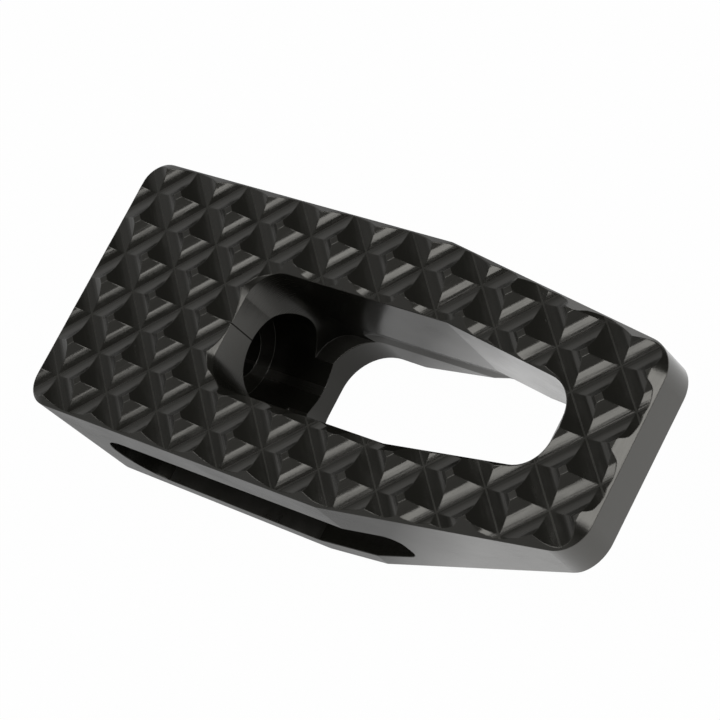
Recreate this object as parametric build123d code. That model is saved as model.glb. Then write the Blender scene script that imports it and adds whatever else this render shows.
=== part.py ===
from build123d import *

import math
import os

# Frame: X runs from the bolted end to the tip, Y across, Z up out of the tread. Millimetres.
# The origin is on the bolt's axis, at the mouth of the bolt hole in the end face.

# Body outline in plan
LENGTH = 95.4
HALF_WIDTH = 19.7
TAPER_START = 56.2
TIP_HALF_WIDTH = 14.05
END_CORNER_R = 3.8
TIP_CORNER_R = 4.8

# Side profile
TREAD_Z = 13.9
END_BOTTOM_Z = -9.2
HEEL_X = 42.8
HEEL_Z = -11.4
TIP_THICKNESS = 7.4
TREAD_BEVEL = 1.5
FOOT_BEVEL = 0.2

# Tread grooves, lines through a lattice with a crossing on the middle plane
CROSSING_X = 9.0
CROSSING_STEP = 10.0
GROOVE_TURN_DEG = 45
GROOVE_HALF_WIDTH = 3.0
GROOVE_DEPTH = 1.25
GROOVE_ROOT_HALF = 0.12
GROOVE_SHOULDER_HALF = 1.77
GROOVE_SHOULDER_RISE = 0.35
GROOVE_HOLLOW = 0.05

# Slot through the middle
SLOT_LEFT = 28.5
SLOT_HALF_WIDTH = 8.9
SLOT_TAPER_START = 61.5
SLOT_TAPER_DEG = 8.0
SLOT_TIP_LAND = 10.9
SLOT_CORNER_R = 4.8
SLOT_RIM_BEVEL = 1.3

# Wider opening underneath, leaving a ledge at the bolted end
LEDGE_Z = -6.1
LEDGE_DEPTH = 3.2
LOWER_WIDENING = 0.2
LOWER_CORNER_R = 7.0

# Shallow relief round the slot's wall, just above the lower opening
RELIEF_Z = -4.6
RELIEF_DEPTH = 0.6
RELIEF_RISE = 3.0

# Bolt seat in the slot's end wall
HEAD_BORE_R = 7.3
BOLT_HOLE_R = 4.3
BOLT_GRIP = 20.6

# Recess in each side
FLANGE_THICKNESS = 8.5
POCKET_ROUND_X = 15.0
POCKET_ROUND_R = 6.4
POCKET_TIP_HEIGHT = 6.25
POCKET_FOOT_RIM = 3.0
POCKET_SLOPE_RIM = 3.1
POCKET_RIGHT_R = 2.5
POCKET_HEEL_R = 6.0
POCKET_DEPTH = 6.0

# How far a cutting tool runs past the metal
OVER = 5.0


def near(value, target):
    """Tells whether two lengths are the same within the modelling tolerance."""
    return abs(value - target) < 0.01


def underside_z(x):
    """Height of the underside: it falls gently to the heel, then rises to the tip."""
    if x < HEEL_X:
        return END_BOTTOM_Z + (HEEL_Z - END_BOTTOM_Z) * x / HEEL_X
    tip_bottom = TREAD_Z - TIP_THICKNESS
    return HEEL_Z + (tip_bottom - HEEL_Z) * (x - HEEL_X) / (LENGTH - HEEL_X)


def rise_x(z):
    """Place along the rising half of the underside where it reaches a height."""
    tip_bottom = TREAD_Z - TIP_THICKNESS
    return HEEL_X + (z - HEEL_Z) * (LENGTH - HEEL_X) / (tip_bottom - HEEL_Z)


def plan_outline():
    """Plan of the body: parallel past the middle, then tapering to the tip."""
    points = [
        (0, -HALF_WIDTH),
        (TAPER_START, -HALF_WIDTH),
        (LENGTH, -TIP_HALF_WIDTH),
        (LENGTH, TIP_HALF_WIDTH),
        (TAPER_START, HALF_WIDTH),
        (0, HALF_WIDTH),
    ]
    with BuildSketch() as plan:
        with BuildLine():
            Polyline(*points, close=True)
        make_face()
        fillet(plan.vertices().filter_by(lambda v: near(v.X, 0)), radius=END_CORNER_R)
        fillet(plan.vertices().filter_by(lambda v: near(v.X, LENGTH)), radius=TIP_CORNER_R)
    return plan.sketch


def side_profile():
    """Wedge seen from the side: deep at the bolted end, thin at the tip."""
    points = [
        (0, underside_z(0)),
        (HEEL_X, underside_z(HEEL_X)),
        (LENGTH, underside_z(LENGTH)),
        (LENGTH, TREAD_Z),
        (0, TREAD_Z),
    ]
    with BuildSketch(Plane.XZ) as side:
        with BuildLine():
            Polyline(*points, close=True)
        make_face()
    return side.sketch


def body_blank():
    """The wedge cut to the plan outline, with the tread's and the underside's edges broken."""
    wedge = extrude(side_profile(), amount=HALF_WIDTH + OVER, both=True)
    prism = Pos(0, 0, HEEL_Z - OVER) * extrude(plan_outline(), amount=TREAD_Z - HEEL_Z + 2 * OVER)
    blank = wedge & prism
    top = blank.faces().sort_by(Axis.Z)[-1]
    blank = chamfer(top.edges(), length=TREAD_BEVEL)
    under = blank.faces().filter_by(lambda f: f.normal_at().Z < -0.5)
    rim = [e for face in under for e in face.edges() if not near(abs(e.tangent_at(0.5).Y), 1)]
    ends = [e for face in under for e in face.edges() if near(e.center().X, 0)]
    return chamfer(rim + ends, length=FOOT_BEVEL)


def slot_outline(left, half_width, left_corner_r, right):
    """Plan of the slot: parallel, then tapering to a narrower round-cornered end."""
    slope = math.tan(math.radians(SLOT_TAPER_DEG))
    end_half = half_width - slope * (right - SLOT_TAPER_START)
    right_corner_r = min(SLOT_CORNER_R, 0.95 * end_half)
    points = [
        (left, -half_width),
        (SLOT_TAPER_START, -half_width),
        (right, -end_half),
        (right, end_half),
        (SLOT_TAPER_START, half_width),
        (left, half_width),
    ]
    with BuildSketch() as plan:
        with BuildLine():
            Polyline(*points, close=True)
        make_face()
        fillet(plan.vertices().filter_by(lambda v: near(v.X, left)), radius=left_corner_r)
        fillet(plan.vertices().filter_by(lambda v: near(v.X, right)), radius=right_corner_r)
    return plan.sketch


def slot_cut():
    """Upper pocket down to the ledge, the opening below it, and the relief between them."""
    right = LENGTH - SLOT_TIP_LAND
    lower_half = SLOT_HALF_WIDTH + LOWER_WIDENING
    upper_plan = slot_outline(SLOT_LEFT, SLOT_HALF_WIDTH, SLOT_CORNER_R, right)
    lower_plan = slot_outline(SLOT_LEFT + LEDGE_DEPTH, lower_half, LOWER_CORNER_R, right + LOWER_WIDENING)
    upper = Pos(0, 0, LEDGE_Z) * extrude(upper_plan, amount=TREAD_Z - LEDGE_Z + OVER)
    lower = Pos(0, 0, HEEL_Z - OVER) * extrude(lower_plan, amount=LEDGE_Z - HEEL_Z + OVER)
    undercut = RELIEF_DEPTH - LOWER_WIDENING
    lead_in = math.degrees(math.atan2(undercut, RELIEF_Z - LEDGE_Z))
    run_out = math.degrees(math.atan2(RELIEF_DEPTH, RELIEF_RISE))
    lower_flank = Pos(0, 0, LEDGE_Z) * extrude(lower_plan, amount=RELIEF_Z - LEDGE_Z, taper=-lead_in)
    relief_plan = offset(lower_plan, amount=undercut)
    upper_flank = Pos(0, 0, RELIEF_Z) * extrude(relief_plan, amount=RELIEF_RISE, taper=run_out)
    return upper + lower + lower_flank + upper_flank


def bolt_cut():
    """Head bore reached from the slot, and the clearance hole through to the end face."""
    reach = SLOT_LEFT + LEDGE_DEPTH + LOWER_CORNER_R / 2 - BOLT_GRIP
    along = Rot(0, 90, 0)
    bore = Pos(BOLT_GRIP + reach / 2, 0, 0) * along * Cylinder(HEAD_BORE_R, reach)
    hole = Pos(BOLT_GRIP / 2, 0, 0) * along * Cylinder(BOLT_HOLE_R, BOLT_GRIP + OVER)
    return bore + hole


def pocket_outline():
    """Side recess: round at the bolted end, its foot following the underside."""
    top = TREAD_Z - FLANGE_THICKNESS
    right_foot = top - POCKET_TIP_HEIGHT
    right_x = rise_x(right_foot - POCKET_SLOPE_RIM)
    points = [
        (POCKET_ROUND_X, top),
        (right_x, top),
        (right_x, right_foot),
        (HEEL_X, HEEL_Z + POCKET_FOOT_RIM),
        (POCKET_ROUND_X, underside_z(POCKET_ROUND_X) + POCKET_FOOT_RIM),
    ]
    with BuildSketch(Plane.XZ) as side:
        with BuildLine():
            Polyline(*points)
            ThreePointArc(points[-1], (POCKET_ROUND_X - POCKET_ROUND_R, top - POCKET_ROUND_R), points[0])
        make_face()
        fillet(side.vertices().filter_by(lambda v: near(v.X, right_x)), radius=POCKET_RIGHT_R)
        fillet(side.vertices().filter_by(lambda v: near(v.X, HEEL_X)), radius=POCKET_HEEL_R)
    return side.sketch


def pocket_cut():
    """The recess on both sides of the body."""
    floor = HALF_WIDTH - POCKET_DEPTH
    block = Pos(0, floor, 0) * extrude(pocket_outline(), amount=-(POCKET_DEPTH + OVER))
    return [block, mirror(block, about=Plane.XZ)]


def hollow_middle(start, end):
    """Middle point of a groove flank, set below its chord by the flank's hollow."""
    run = end[0] - start[0]
    rise = end[1] - start[1]
    length = math.hypot(run, rise)
    middle_x = (start[0] + end[0]) / 2
    middle_z = (start[1] + end[1]) / 2
    return (middle_x + GROOVE_HOLLOW * rise / length, middle_z - GROOVE_HOLLOW * run / length)


def groove_profile():
    """Section of a groove: a fine root, two shallow lower flanks and two steeper upper ones."""
    root = (GROOVE_ROOT_HALF, -GROOVE_DEPTH)
    shoulder = (GROOVE_SHOULDER_HALF, GROOVE_SHOULDER_RISE - GROOVE_DEPTH)
    rim = (GROOVE_HALF_WIDTH, 0)
    top = (GROOVE_HALF_WIDTH, OVER)
    with BuildSketch(Plane.YZ) as section:
        with BuildLine():
            Line((-root[0], root[1]), root)
            ThreePointArc(root, hollow_middle(root, shoulder), shoulder)
            ThreePointArc(shoulder, hollow_middle(shoulder, rim), rim)
            Polyline(rim, top, (0, OVER))
            mirror(about=Plane.YZ)
        make_face()
    return section.sketch


def groove_cuts(turn_deg):
    """One family of parallel grooves across the tread, turned by an angle about Z."""
    turn = math.radians(abs(turn_deg))
    bar = extrude(groove_profile(), amount=(HALF_WIDTH + OVER) / math.sin(turn), both=True)
    reach = HALF_WIDTH / math.tan(turn)
    first = math.ceil((-reach - CROSSING_X) / CROSSING_STEP)
    last = math.floor((LENGTH + reach - CROSSING_X) / CROSSING_STEP)
    cuts = []
    for index in range(first, last + 1):
        x = CROSSING_X + CROSSING_STEP * index
        cuts.append(Pos(x, 0, TREAD_Z) * Rot(0, 0, turn_deg) * bar)
    return cuts


def pedal_pad():
    """The whole pad as one solid."""
    pad = body_blank() - slot_cut()
    pad = pad - bolt_cut()
    top = pad.faces().filter_by(lambda f: f.normal_at().Z > 0.99).sort_by(Axis.Z)[-1]
    pad = chamfer(top.inner_wires()[0].edges(), length=SLOT_RIM_BEVEL)
    pad = pad - pocket_cut()
    for turn_deg in (GROOVE_TURN_DEG, -GROOVE_TURN_DEG):
        pad = pad - groove_cuts(turn_deg)
    return pad


os.makedirs("parts", exist_ok=True)
pad = pedal_pad()
print("solids", len(pad.solids()), "volume", pad.volume, pad.bounding_box())
export_step(pad, "parts/pedal_pad.step")
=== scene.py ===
"""Dresses the brake pedal foot pad: black anodised aluminium on a white table in soft studio light."""

import logging
import math
from dataclasses import dataclass, field
from enum import Enum

import bpy
from mathutils import Matrix, Vector


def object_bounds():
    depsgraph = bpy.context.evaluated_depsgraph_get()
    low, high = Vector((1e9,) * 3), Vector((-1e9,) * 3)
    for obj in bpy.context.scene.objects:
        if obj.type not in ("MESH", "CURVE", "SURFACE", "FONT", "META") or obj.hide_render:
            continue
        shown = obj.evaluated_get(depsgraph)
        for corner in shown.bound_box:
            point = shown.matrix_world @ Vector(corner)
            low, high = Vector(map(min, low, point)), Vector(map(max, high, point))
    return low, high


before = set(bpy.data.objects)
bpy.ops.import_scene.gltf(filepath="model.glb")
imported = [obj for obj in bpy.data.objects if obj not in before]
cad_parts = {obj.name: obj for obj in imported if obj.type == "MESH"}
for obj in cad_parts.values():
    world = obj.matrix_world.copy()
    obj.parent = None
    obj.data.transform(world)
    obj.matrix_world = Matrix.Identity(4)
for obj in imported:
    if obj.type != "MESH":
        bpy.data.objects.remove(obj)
CAD_BOUNDS = [list(corner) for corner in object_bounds()]

LOG = logging.getLogger("pedal_pad")
NODE = "pedal_pad"
MM = 0.001
WHITE = (1.0, 1.0, 1.0, 1.0)

Socket = bpy.types.NodeSocket
Triple = tuple[float, float, float]
Span = tuple[float, float]

NOISE_SPAN: Span = (0.3, 0.7)  # nearly all of a noise's values lie in it


class Lamp(Enum):
    """The studio's softboxes, named for where they hang."""

    OVERHEAD = "overhead"
    TIP_SIDE = "tip_side"


@dataclass(frozen=True)
class NodeMaker:
    """Adds nodes and links to one tree."""

    tree: bpy.types.NodeTree

    def add(self, kind: str, **inputs: float | tuple[float, ...]) -> bpy.types.Node:
        """Add a node and set its inputs.

        Args:
            kind: Blender's name for the node's class.
            inputs: Values for input sockets, an underscore standing for a space in a name.

        Returns:
            The new node.
        """
        node = self.tree.nodes.new(kind)
        for name, value in inputs.items():
            node.inputs[name.replace("_", " ")].default_value = value
        return node

    def link(self, out: Socket, socket: Socket) -> None:
        """Join an output to an input."""
        self.tree.links.new(out, socket)

    def maths(self, operation: str, first: float | Socket, second: float | Socket = 0.0) -> Socket:
        """Add a Math node whose inputs are sockets or numbers.

        Args:
            operation: Blender's name for the sum.
            first: The first input.
            second: The second input, which sums such as ABSOLUTE don't use.

        Returns:
            The node's result.
        """
        node = self.tree.nodes.new("ShaderNodeMath")
        node.operation = operation
        for socket, value in zip(node.inputs, (first, second)):
            if isinstance(value, Socket):
                self.link(value, socket)
            else:
                socket.default_value = value
        return node.outputs["Value"]

    def split(self, vector: Socket) -> bpy.types.NodeOutputs:
        """Part a vector into its X, Y and Z."""
        node = self.tree.nodes.new("ShaderNodeSeparateXYZ")
        self.link(vector, node.inputs["Vector"])
        return node.outputs

    def dot(self, first: Socket, second: Triple | Vector | Socket) -> Socket:
        """Add a dot product.

        Args:
            first: The first vector.
            second: The second vector, as a socket or as numbers.

        Returns:
            The dot product.
        """
        node = self.tree.nodes.new("ShaderNodeVectorMath")
        node.operation = "DOT_PRODUCT"
        self.link(first, node.inputs[0])
        if isinstance(second, Socket):
            self.link(second, node.inputs[1])
        else:
            node.inputs[1].default_value = second
        return node.outputs["Value"]

    def remap(self, value: Socket, span: Span, onto: Span) -> Socket:
        """Map a span of values onto another, held at its ends.

        Args:
            value: The values to map.
            span: The inputs that give the two ends of the result.
            onto: The two ends of the result.

        Returns:
            The mapped values.
        """
        node = self.tree.nodes.new("ShaderNodeMapRange")
        for name, number in zip(("From Min", "From Max", "To Min", "To Max"), (*span, *onto)):
            node.inputs[name].default_value = number
        self.link(value, node.inputs["Value"])
        return node.outputs["Result"]


@dataclass(frozen=True)
class Noise:
    """A cloudy pattern, given by the size of its features and how many finer layers it has."""

    size: float
    detail: float

    def build(self, maker: NodeMaker, place: Socket) -> Socket:
        """Add the pattern to a material.

        Args:
            maker: Adds nodes to the material's tree.
            place: The coordinates that it lies on.

        Returns:
            The pattern, from 0 to 1.
        """
        noise = maker.add("ShaderNodeTexNoise", Scale=1.0 / self.size, Detail=self.detail)
        maker.link(place, noise.inputs["Vector"])
        return noise.outputs["Fac"]


@dataclass(frozen=True)
class GrooveRelief:
    """The hollow of each groove's lower flanks and the lines that its cutter left along them."""

    diagonal_share: float = 0.35  # of a normal's tilt; 0.5 is a flank turned exactly 45 degrees
    diagonal_least: float = 0.001
    rise_least: float = 0.5
    crossing_x: float = 9.0 * MM
    crossing_step: float = 10.0 * MM
    shoulder: float = 1.77 * MM
    hollow_size: float = 0.108 * MM
    lines: Noise = Noise(0.6 * MM, 1.5)
    line_stretch: float = 0.03
    line_height: float = 0.020 * MM

    def build(self, maker: NodeMaker, place: Socket, facing: bpy.types.NodeOutputs) -> Socket:
        """Add the relief to the finish.

        Args:
            maker: Adds nodes to the material's tree.
            place: Object coordinates.
            facing: The parts of the face's normal.

        Returns:
            The relief's height, in metres; none on the walls and the flat tops.
        """
        product = maker.maths("MULTIPLY", facing["X"], facing["Y"])
        point = maker.split(place)
        slant = maker.maths("MULTIPLY", maker.maths("SIGN", product), point["Y"])
        relief = maker.maths(
            "ADD", self._hollow(maker, point["X"], slant), self._cutter_lines(maker, point["X"], slant)
        )
        return maker.maths("MULTIPLY", relief, self._flanks(maker, product, facing["Z"]))

    def _flanks(self, maker: NodeMaker, product: Socket, rise: Socket) -> Socket:
        """Pick out the faces that look up and along a diagonal, as the grooves' flanks do.

        Args:
            maker: Adds nodes to the material's tree.
            product: The X of the face's normal times its Y.
            rise: The Z of the face's normal.

        Returns:
            A mask that is 1 on the flanks and 0 elsewhere.
        """
        tilt = maker.maths("SUBTRACT", 1.0, maker.maths("MULTIPLY", rise, rise))
        least = maker.maths("ADD", maker.maths("MULTIPLY", tilt, self.diagonal_share), self.diagonal_least)
        diagonal = maker.maths("GREATER_THAN", maker.maths("ABSOLUTE", product), least)
        return maker.maths("MULTIPLY", diagonal, maker.maths("GREATER_THAN", rise, self.rise_least))

    def _hollow(self, maker: NodeMaker, x: Socket, slant: Socket) -> Socket:
        """Sink the flank between the groove's root and its shoulder.

        Args:
            maker: Adds nodes to the material's tree.
            x: The point's X.
            slant: The point's Y, turned over on the grooves that run the other way.

        Returns:
            The hollow's height, in metres, which is none or below.
        """
        from_crossing = maker.maths("ADD", maker.maths("SUBTRACT", x, self.crossing_x), slant)
        lattice = maker.maths("DIVIDE", from_crossing, self.crossing_step)
        # The wave rises from 0 at a root to 0.5 midway to the next.
        wave = maker.maths("PINGPONG", lattice, 0.5)
        to_root = maker.maths("MULTIPLY", wave, self.crossing_step / math.sqrt(2.0))
        share = maker.maths("MINIMUM", maker.maths("DIVIDE", to_root, self.shoulder), 1.0)
        bow = maker.maths("SUBTRACT", maker.maths("MULTIPLY", share, share), 1.0)
        return maker.maths("MULTIPLY", maker.maths("MULTIPLY", bow, share), self.hollow_size)

    def _cutter_lines(self, maker: NodeMaker, x: Socket, slant: Socket) -> Socket:
        """Draw the pattern out into lines along the groove.

        Args:
            maker: Adds nodes to the material's tree.
            x: The point's X.
            slant: The point's Y, turned over on the grooves that run the other way.

        Returns:
            The lines' height, in metres.
        """
        strand = maker.add("ShaderNodeCombineXYZ")
        maker.link(maker.maths("ADD", x, slant), strand.inputs["X"])
        along = maker.maths("SUBTRACT", x, slant)
        maker.link(maker.maths("MULTIPLY", along, self.line_stretch), strand.inputs["Y"])
        return maker.maths("MULTIPLY", self.lines.build(maker, strand.outputs["Vector"]), self.line_height)


@dataclass(frozen=True)
class Pits:
    """Small scattered pits in the milled skin."""

    spacing: float = 2.6 * MM
    radius: float = 0.12 * MM
    depth: float = 0.02 * MM

    def build(self, maker: NodeMaker, place: Socket) -> Socket:
        """Add the pits to the finish.

        Args:
            maker: Adds nodes to the material's tree.
            place: Object coordinates.

        Returns:
            The pits' depth, in metres.
        """
        cells = maker.add("ShaderNodeTexVoronoi", Scale=1.0 / self.spacing)
        maker.link(place, cells.inputs["Vector"])
        return maker.remap(cells.outputs["Distance"], (0.0, self.radius / self.spacing), (self.depth, 0.0))


@dataclass(frozen=True)
class WitnessLine:
    """The line down the slot's end wall where the milling cutter's path closes."""

    half_width: float = 0.10 * MM
    from_x: float = 27.5 * MM
    to_x: float = 30.5 * MM
    depth: float = 0.05 * MM

    def build(self, maker: NodeMaker, place: Socket) -> Socket:
        """Add the line to the finish.

        Args:
            maker: Adds nodes to the material's tree.
            place: Object coordinates.

        Returns:
            The line's depth, in metres.
        """
        point = maker.split(place)
        line = maker.remap(
            maker.maths("ABSOLUTE", point["Y"]), (0.0, self.half_width), (self.depth, 0.0)
        )
        start = maker.maths("GREATER_THAN", point["X"], self.from_x)
        stop = maker.maths("LESS_THAN", point["X"], self.to_x)
        return maker.maths("MULTIPLY", line, maker.maths("MULTIPLY", start, stop))


@dataclass(frozen=True)
class EdgeWear:
    """Wear on the edges: where a narrowly rounded normal leaves the face's own."""

    radius: float = 0.12 * MM
    samples: int = 6
    cosines: Span = (0.995, 0.90)  # between the two normals: where wear starts and where it is full

    def build(self, maker: NodeMaker) -> Socket:
        """Find the edges.

        Args:
            maker: Adds nodes to the material's tree.

        Returns:
            A mask that is 0 on a face and rises towards 1 on an edge.
        """
        narrow = maker.add("ShaderNodeBevel", Radius=self.radius)
        narrow.samples = self.samples
        own = maker.add("ShaderNodeNewGeometry").outputs["True Normal"]
        return maker.remap(maker.dot(narrow.outputs["Normal"], own), self.cosines, (0.0, 1.0))


@dataclass(frozen=True)
class AnodisedFinish:
    """Dyed oxide over milled aluminium: almost black, with a clear satin skin."""

    colour: Triple = (0.0138, 0.0134, 0.0108)
    worn_colour: Triple = (0.052, 0.050, 0.044)
    gloss_tint: Triple = (1.0, 0.977, 0.915)
    ior: float = 1.66
    roughness: float = 0.21
    roughness_spread: float = 0.05
    blotches: Noise = Noise(9.0 * MM, 4.0)
    grain: Noise = Noise(0.22 * MM, 3.0)
    grain_height: float = 0.0035 * MM
    lay: Noise = Noise(0.09 * MM, 2.0)
    lay_stretch: float = 0.03
    lay_height: float = 0.0013 * MM
    lay_dulling: float = 0.08
    level_from: float = 0.995  # the Z of a normal from which its face counts as level
    level_dulling: float = 0.12
    level_grain: Span = (0.40, 0.62)
    level_grey: float = 0.25
    wear_grain: Span = (0.35, 0.65)
    wear_share: Span = (0.2, 1.0)
    blend_radius: float = 0.20 * MM
    blend_samples: int = 8
    edge_wear: EdgeWear = EdgeWear()
    groove_relief: GrooveRelief = GrooveRelief()
    pits: Pits = Pits()
    witness_line: WitnessLine = WitnessLine()

    def build(self) -> bpy.types.Material:
        """Make the material.

        Returns:
            The anodised material, ready for the pad's slot.
        """
        material = bpy.data.materials.new("black_anodised")
        material.use_nodes = True
        material.node_tree.nodes.clear()
        maker = NodeMaker(material.node_tree)
        out = maker.add("ShaderNodeOutputMaterial")
        skin = maker.add(
            "ShaderNodeBsdfPrincipled", IOR=self.ior, Metallic=0.0, Specular_Tint=(*self.gloss_tint, 1.0)
        )
        maker.link(skin.outputs["BSDF"], out.inputs["Surface"])

        coordinates = maker.add("ShaderNodeTexCoord")
        place = coordinates.outputs["Object"]
        facing = maker.split(coordinates.outputs["Normal"])
        grain = self.grain.build(maker, place)
        lay = self._lay_lines(maker, place)
        level = maker.maths("GREATER_THAN", facing["Z"], self.level_from)

        maker.link(self._roughness(maker, place, lay, level), skin.inputs["Roughness"])
        maker.link(self._base_colour(maker, grain, level), skin.inputs["Base Color"])

        relief = maker.maths("MULTIPLY", grain, self.grain_height)
        relief = maker.maths("ADD", relief, maker.maths("MULTIPLY", lay, self.lay_height))
        relief = maker.maths("ADD", relief, self.groove_relief.build(maker, place, facing))
        relief = maker.maths("SUBTRACT", relief, self.pits.build(maker, place))
        relief = maker.maths("SUBTRACT", relief, self.witness_line.build(maker, place))
        rounded = maker.add("ShaderNodeBevel", Radius=self.blend_radius)
        rounded.samples = self.blend_samples
        bump = maker.add("ShaderNodeBump", Strength=1.0, Distance=1.0)
        maker.link(relief, bump.inputs["Height"])
        maker.link(rounded.outputs["Normal"], bump.inputs["Normal"])
        maker.link(bump.outputs["Normal"], skin.inputs["Normal"])
        return material

    def _lay_lines(self, maker: NodeMaker, place: Socket) -> Socket:
        """Draw a noise out into fine level lines, which run along the grooves on their flanks.

        Args:
            maker: Adds nodes to the material's tree.
            place: Object coordinates.

        Returns:
            The lines, from 0 to 1.
        """
        stretch = maker.add("ShaderNodeMapping", Scale=(self.lay_stretch, self.lay_stretch, 1.0))
        maker.link(place, stretch.inputs["Vector"])
        return self.lay.build(maker, stretch.outputs["Vector"])

    def _roughness(self, maker: NodeMaker, place: Socket, lay: Socket, level: Socket) -> Socket:
        """Vary the gloss in blotches and along the lines, and dull the level faces.

        Args:
            maker: Adds nodes to the material's tree.
            place: Object coordinates.
            lay: The fine lines.
            level: 1 on the level faces and 0 elsewhere.

        Returns:
            The roughness.
        """
        least = self.roughness - self.roughness_spread
        most = self.roughness + self.roughness_spread
        cloud = maker.remap(self.blotches.build(maker, place), NOISE_SPAN, (least, most))
        rough = maker.maths("ADD", cloud, maker.maths("MULTIPLY", level, self.level_dulling))
        dulled = maker.remap(lay, NOISE_SPAN, (-self.lay_dulling / 2, self.lay_dulling / 2))
        return maker.maths("ADD", rough, dulled)

    def _base_colour(self, maker: NodeMaker, grain: Socket, level: Socket) -> Socket:
        """Pale the dye where edges are worn and, in specks, on the level faces.

        Args:
            maker: Adds nodes to the material's tree.
            grain: The fine grain.
            level: 1 on the level faces and 0 elsewhere.

        Returns:
            The base colour.
        """
        tint = maker.add("ShaderNodeMix")
        tint.data_type = "RGBA"
        tint.inputs["A"].default_value = (*self.colour, 1.0)
        tint.inputs["B"].default_value = (*self.worn_colour, 1.0)
        specks = maker.remap(grain, self.wear_grain, self.wear_share)
        worn = maker.maths("MULTIPLY", self.edge_wear.build(maker), specks)
        greyed = maker.maths("MULTIPLY", level, maker.remap(grain, self.level_grain, (0.0, self.level_grey)))
        maker.link(maker.maths("MAXIMUM", worn, greyed), tint.inputs["Factor"])
        return tint.outputs["Result"]


@dataclass
class FootPad:
    """The milled pad, which is the CAD node with its finish."""

    finish: AnodisedFinish = field(default_factory=AnodisedFinish)

    def dress(self) -> bpy.types.Object:
        """Give the node its finish and return it."""
        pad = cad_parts[NODE]
        pad.data.materials.clear()
        pad.data.materials.append(self.finish.build())
        return pad


@dataclass
class Table:
    """A white table that runs out of sight."""

    half_side: float = 4.0
    colour: Triple = (0.82, 0.82, 0.82)
    seen_white: float = 0.985
    gloss_share: float = 0.9
    # The table's glow in the pad's gloss is painted shade and light: a painted shadow of the pad towards −X
    # and a painted pool of light towards the tip.
    painted_light_way: Triple = (1.0, 0.35, 0.0)
    painted_light_from_to: Span = (43.0 * MM, 58.0 * MM)  # X on the centre line, as the way's X is 1; over it the painted shade on the table turns to painted light
    painted_shade_to_light: Span = (0.43, 1.16)

    def build(self) -> bpy.types.Object:
        """Lay the table under the pad.

        Returns:
            The table's object.
        """
        low = CAD_BOUNDS[0][2]
        side = self.half_side
        mesh = bpy.data.meshes.new("table")
        corners = [(-side, -side, low), (side, -side, low), (side, side, low), (-side, side, low)]
        mesh.from_pydata(corners, [], [(0, 1, 2, 3)])
        table = bpy.data.objects.new("table", mesh)
        bpy.context.scene.collection.objects.link(table)
        mesh.materials.append(self._material())
        return table

    def _material(self) -> bpy.types.Material:
        """Make the table's white, which shows in the pad's gloss with painted shade and light: dim towards
        −X and brighter than white towards the tip.

        Returns:
            The table's material.
        """
        material = bpy.data.materials.new("table_white_painted_light_and_shade")
        material.use_nodes = True
        material.node_tree.nodes.clear()
        maker = NodeMaker(material.node_tree)
        out = maker.add("ShaderNodeOutputMaterial")
        path = maker.add("ShaderNodeLightPath").outputs
        seen = path["Is Camera Ray"]
        gloss = maker.maths("MAXIMUM", path["Is Glossy Ray"], path["Is Transmission Ray"])

        # The camera sees an even white, and only the pad's gloss sees the painted shade and light, a glow
        # that rises along the table towards the tip.
        along = maker.dot(maker.add("ShaderNodeTexCoord").outputs["Object"], self.painted_light_way)
        strength = maker.add("ShaderNodeMix", B=1.0)
        maker.link(seen, strength.inputs["Factor"])
        maker.link(maker.remap(along, self.painted_light_from_to, self.painted_shade_to_light), strength.inputs["A"])
        white = maker.add("ShaderNodeEmission")
        maker.link(strength.outputs["Result"], white.inputs["Strength"])

        paint = maker.add("ShaderNodeBsdfDiffuse", Color=(*self.colour, 1.0))
        to_camera = maker.maths("MULTIPLY", seen, self.seen_white)
        to_gloss = maker.maths("MULTIPLY", gloss, self.gloss_share)
        shade = maker.add("ShaderNodeMixShader")
        maker.link(maker.maths("MAXIMUM", to_camera, to_gloss), shade.inputs["Fac"])
        maker.link(paint.outputs["BSDF"], shade.inputs[1])
        maker.link(white.outputs["Emission"], shade.inputs[2])
        maker.link(shade.outputs["Shader"], out.inputs["Surface"])
        return material


@dataclass(frozen=True)
class Softbox:
    """One rectangular studio light, aimed at the pad."""

    lamp: Lamp
    bearing: Triple
    width: float
    height: float
    radiance: float
    distance: float = 1.0

    def build(self, target: Vector) -> bpy.types.Object:
        """Hang the softbox.

        Args:
            target: The point that it is aimed at.

        Returns:
            The lamp's object.
        """
        light = bpy.data.lights.new(f"softbox_{self.lamp.value}", "AREA")
        light.shape = "RECTANGLE"
        light.size = self.width
        light.size_y = self.height
        light.energy = self.radiance * math.pi * self.width * self.height
        holder = bpy.data.objects.new(light.name, light)
        bpy.context.scene.collection.objects.link(holder)
        away = Vector(self.bearing).normalized()
        turn = away.to_track_quat("Z", "Y").to_matrix().to_4x4()
        holder.matrix_world = Matrix.Translation(target + away * self.distance) @ turn
        return holder


@dataclass(frozen=True)
class Glow:
    """A soft-edged bright field of the studio's walls, seen from the pad."""

    bearing: Triple
    full_deg: float
    end_deg: float
    radiance: float

    def build(self, maker: NodeMaker, way: Socket) -> Socket:
        """Add the field to the surround.

        Args:
            maker: Adds nodes to the surround's tree.
            way: The direction that is looked in.

        Returns:
            The field's radiance that way.
        """
        along = maker.dot(way, Vector(self.bearing).normalized())
        full = math.cos(math.radians(self.full_deg))
        end = math.cos(math.radians(self.end_deg))
        return maker.remap(along, (end, full), (0.0, self.radiance))


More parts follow.
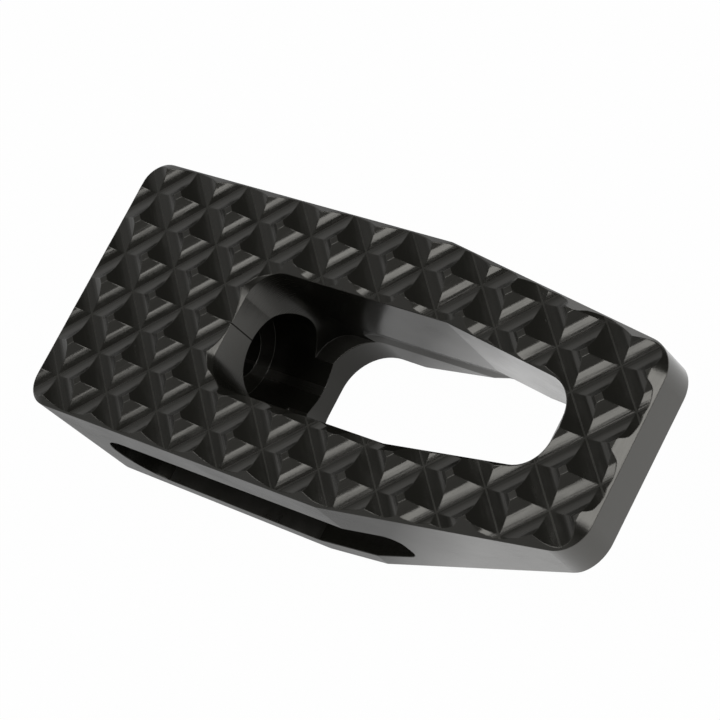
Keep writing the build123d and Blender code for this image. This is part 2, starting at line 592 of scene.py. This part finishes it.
@dataclass
class Studio:
    """The lamps and the surround."""

    boxes: list[Softbox] = field(
        default_factory=lambda: [
            Softbox(Lamp.OVERHEAD, bearing=(-0.145, -0.07, 0.98), width=0.53, height=0.50, radiance=3.15),
            Softbox(Lamp.TIP_SIDE, bearing=(0.80, 0.22, 0.50), width=0.50, height=0.50, radiance=3.7),
        ]
    )
    glows: list[Glow] = field(
        default_factory=lambda: [
            Glow(bearing=(-0.84, 0.40, 0.40), full_deg=6.0, end_deg=28.0, radiance=0.48),
            Glow(bearing=(-0.98, -0.20, 0.0), full_deg=5.0, end_deg=28.0, radiance=0.44),
            Glow(bearing=(-0.15, -0.92, 0.35), full_deg=25.0, end_deg=65.0, radiance=0.33),
        ]
    )
    surround: float = 0.05

    def build(self, target: Vector) -> list[bpy.types.Object]:
        """Light the pad.

        Args:
            target: The point that the lamps are aimed at.

        Returns:
            The lamps' objects.
        """
        world = bpy.data.worlds.new("surround")
        bpy.context.scene.world = world
        world.use_nodes = True
        world.node_tree.nodes.clear()
        maker = NodeMaker(world.node_tree)
        out = maker.add("ShaderNodeOutputWorld")
        way = maker.add("ShaderNodeTexCoord").outputs["Generated"]
        total: float | Socket = self.surround
        for glow in self.glows:
            total = maker.maths("ADD", glow.build(maker, way), total)
        grey = maker.add("ShaderNodeBackground", Color=WHITE)
        maker.link(total, grey.inputs["Strength"])
        maker.link(grey.outputs["Background"], out.inputs["Surface"])
        return [softbox.build(target) for softbox in self.boxes]


@dataclass(frozen=True)
class Camera:
    """The camera, set at the photograph's viewing angle."""

    position: Triple = (266.39 * MM, -69.42 * MM, 268.55 * MM)
    aim: Triple = (52.83 * MM, 0.23 * MM, 14.0 * MM)
    roll_deg: float = -48.62
    lens_mm: float = 131.15
    sensor_mm: float = 36.0

    def build(self) -> bpy.types.Object:
        """Stand the camera and make it the scene's own.

        Returns:
            The camera's object.
        """
        lens = bpy.data.cameras.new("camera")
        lens.lens = self.lens_mm
        lens.sensor_width = self.sensor_mm
        camera = bpy.data.objects.new("camera", lens)
        bpy.context.scene.collection.objects.link(camera)
        look = Vector(self.aim) - Vector(self.position)
        turn = look.to_track_quat("-Z", "Y").to_matrix().to_4x4()
        roll = Matrix.Rotation(math.radians(self.roll_deg), 4, "Z")
        camera.matrix_world = Matrix.Translation(self.position) @ turn @ roll
        bpy.context.scene.camera = camera
        return camera


def main() -> None:
    """Build the scene in order and report each piece."""
    logging.basicConfig(level=logging.INFO)
    bpy.context.scene.view_settings.view_transform = "Standard"
    low, high = (Vector(corner) for corner in CAD_BOUNDS)
    pad = FootPad().dress()
    LOG.info("%s: %d triangles", NODE, len(pad.data.polygons))
    table = Table().build()
    lamps = Studio().build((low + high) / 2)
    camera = Camera().build()
    for made in (table, *lamps, camera):
        LOG.info("%s: in place", made.name)


if __name__ == "__main__":
    main()
